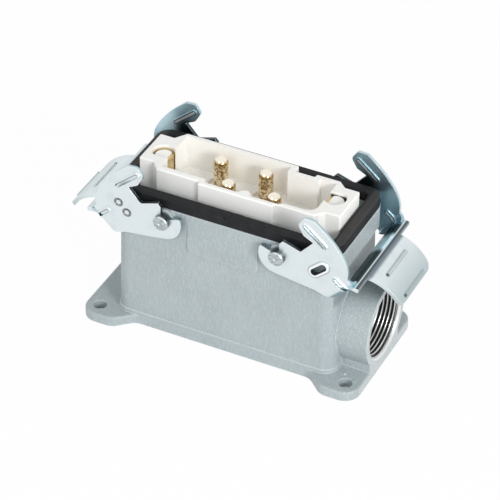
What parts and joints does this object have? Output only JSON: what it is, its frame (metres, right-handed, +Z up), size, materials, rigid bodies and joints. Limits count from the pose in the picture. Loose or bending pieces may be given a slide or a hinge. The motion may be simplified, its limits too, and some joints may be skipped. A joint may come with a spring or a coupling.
{
  "type": "heavy duty rectangular connector",
  "caption": "Surface-mount rectangular power connector: cast housing with a side cable entry, male insert, rim gasket and locking levers standing open.",
  "frame": {"origin": "centre of the base flange's underside", "axes": "+X along the length, towards the cable entry; -Y towards the front long side; +Z up, out of the mouth"},
  "size_m": [0.1398, 0.057, 0.076],
  "materials": {
    "cast_housing": "light grey, fine cast texture under a satin coat",
    "gasket_rubber": "near-black, satin",
    "lever_steel": "bright zinc plating with a pale blue cast",
    "insert_plastic": "cream moulding, soft sheen",
    "contact_gold": "gold plated, polished",
    "earth_brass": "plain strip brass",
    "screw_steel": "zinc plated"
  },
  "bodies": {
    "base": {"housing": "cast_housing", "rim_gasket": "gasket_rubber", "lever_stud_front_left": "lever_steel", "lever_stud_front_right": "lever_steel", "lever_stud_back_left": "lever_steel", "lever_stud_back_right": "lever_steel", "insert_body": "insert_plastic", "power_pin_front_left": "contact_gold", "power_pin_front_right": "contact_gold", "power_pin_back_left": "contact_gold", "power_pin_back_right": "contact_gold", "terminal_screw_front_left": "screw_steel", "terminal_screw_front_right": "screw_steel", "terminal_screw_back_left": "screw_steel", "terminal_screw_back_right": "screw_steel", "insert_screw_front_left": "screw_steel", "insert_screw_front_right": "screw_steel", "insert_screw_back_left": "screw_steel", "insert_screw_back_right": "screw_steel", "earth_contact_left": "earth_brass", "earth_contact_right": "earth_brass", "earth_screw_left": "screw_steel", "earth_screw_right": "screw_steel"},
    "lever_left": {"locking_lever_left": "lever_steel"},
    "lever_right": {"locking_lever_right": "lever_steel"}
  },
  "joints": [
    {"name": "lever_left_hinge", "type": "hinge", "parent": "base", "child": "lever_left", "pos_m": [-0.0239, 0, 0.0552], "axis": [0, 1, 0], "range_deg": [0, 45]},
    {"name": "lever_right_hinge", "type": "hinge", "parent": "base", "child": "lever_right", "pos_m": [0.0239, 0, 0.0552], "axis": [0, -1, 0], "range_deg": [0, 45]}
  ]
}
